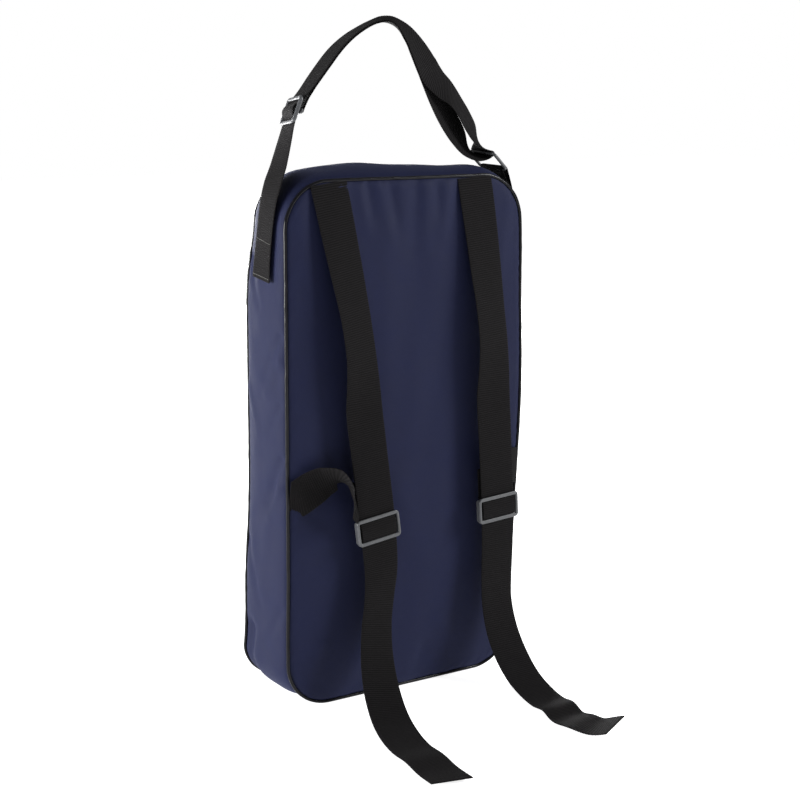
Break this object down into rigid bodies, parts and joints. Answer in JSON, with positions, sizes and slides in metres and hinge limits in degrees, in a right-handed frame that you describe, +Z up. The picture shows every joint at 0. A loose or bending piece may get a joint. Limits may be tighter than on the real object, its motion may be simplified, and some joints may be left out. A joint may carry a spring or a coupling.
{
  "type": "golf shoe bag",
  "caption": "Tall slim boxy fabric bag for golf shoes, with a zipped front flap, an arched carry strap over the top and adjustable webbing back straps.",
  "frame": {"origin": "centre of the underside of the base, where the bag stands", "axes": "+Z up, +Y out of the zipped front, -Y out of the back panel that carries the back straps, +X to the right when the back panel is seen from outside"},
  "size_m": [0.2584, 0.2834, 0.6383],
  "materials": {
    "navy_polyester": "PVC-backed plain-weave polyester, faint sheen",
    "black_piping": "smooth PVC piping, soft gloss",
    "black_webbing": "ribbed polypropylene webbing, matt",
    "grey_plastic": "moulded acetal, satin",
    "zip_cloth": "woven zip tape and nylon coil, matt",
    "zip_metal": "plated zinc, satin",
    "black_lining": "covered board and binding tape, matt"
  },
  "bodies": {
    "bag": {"back_panel": "navy_polyester", "gusset_left": "navy_polyester", "gusset_right": "navy_polyester", "gusset_top": "navy_polyester", "gusset_base": "navy_polyester", "front_border": "navy_polyester", "back_piping": "black_piping", "front_piping": "black_piping", "back_seam_binding": "black_lining", "front_seam_binding": "black_lining", "back_board": "black_lining", "base_board": "black_lining", "zip_tape_bag": "zip_cloth", "zip_coil_bag": "zip_cloth", "zip_coil_tail_left": "zip_cloth", "zip_coil_tail_right": "zip_cloth", "zip_end_stop_left": "zip_metal", "zip_end_stop_right": "zip_metal", "carry_strap_sewn_end": "black_webbing", "carry_tab_sewn_end": "black_webbing", "lower_anchor_left": "black_webbing", "lower_anchor_right": "black_webbing"},
    "flap": {"front_flap": "navy_polyester", "zip_tape_flap": "zip_cloth", "zip_coil_flap": "zip_cloth"},
    "zip_slider": {"zip_slider": "zip_metal"},
    "zip_pull": {"zip_pull": "zip_metal"},
    "carry_strap": {"carry_strap": "black_webbing", "carry_strap_adjuster": "grey_plastic", "carry_strap_ring": "grey_plastic", "carry_tab": "black_webbing"},
    "back_strap_left": {"back_strap_left": "black_webbing"},
    "back_strap_right": {"back_strap_right": "black_webbing"},
    "adjuster_left": {"back_strap_adjuster_left": "grey_plastic", "lower_anchor_loop_left": "black_webbing"},
    "adjuster_right": {"back_strap_adjuster_right": "grey_plastic", "lower_anchor_loop_right": "black_webbing"}
  },
  "joints": [
    {"name": "front_flap_fold", "type": "hinge", "parent": "bag", "child": "flap", "pos_m": [0, 0.04, 0.048], "axis": [-1, 0, 0], "range_deg": [0, 95]},
    {"name": "zip_slider_travel", "type": "slide", "parent": "bag", "child": "zip_slider", "axis": [0, 0, 1], "range_m": [0, 0.4]},
    {"name": "zip_pull_lift", "type": "hinge", "parent": "zip_slider", "child": "zip_pull", "pos_m": [0.103, 0.041, 0.036], "axis": [1, 0, 0], "range_deg": [0, 100]},
    {"name": "carry_strap_swing", "type": "hinge", "parent": "bag", "child": "carry_strap", "pos_m": [0, 0, 0.455], "axis": [1, 0, 0], "range_deg": [-55, 55]},
    {"name": "back_strap_left_swing", "type": "hinge", "parent": "bag", "child": "back_strap_left", "pos_m": [-0.083, -0.0409, 0.491], "axis": [-1, 0, 0], "range_deg": [0, 15]},
    {"name": "back_strap_right_swing", "type": "hinge", "parent": "bag", "child": "back_strap_right", "pos_m": [0.073, -0.0409, 0.491], "axis": [-1, 0, 0], "range_deg": [0, 15]},
    {"name": "adjuster_left_travel", "type": "slide", "parent": "back_strap_left", "child": "adjuster_left", "axis": [-0.1299, 0, 0.9915], "range_m": [-0.03, 0.09]},
    {"name": "adjuster_right_travel", "type": "slide", "parent": "back_strap_right", "child": "adjuster_right", "axis": [-0.0678, 0, 0.9977], "range_m": [-0.03, 0.09]}
  ]
}
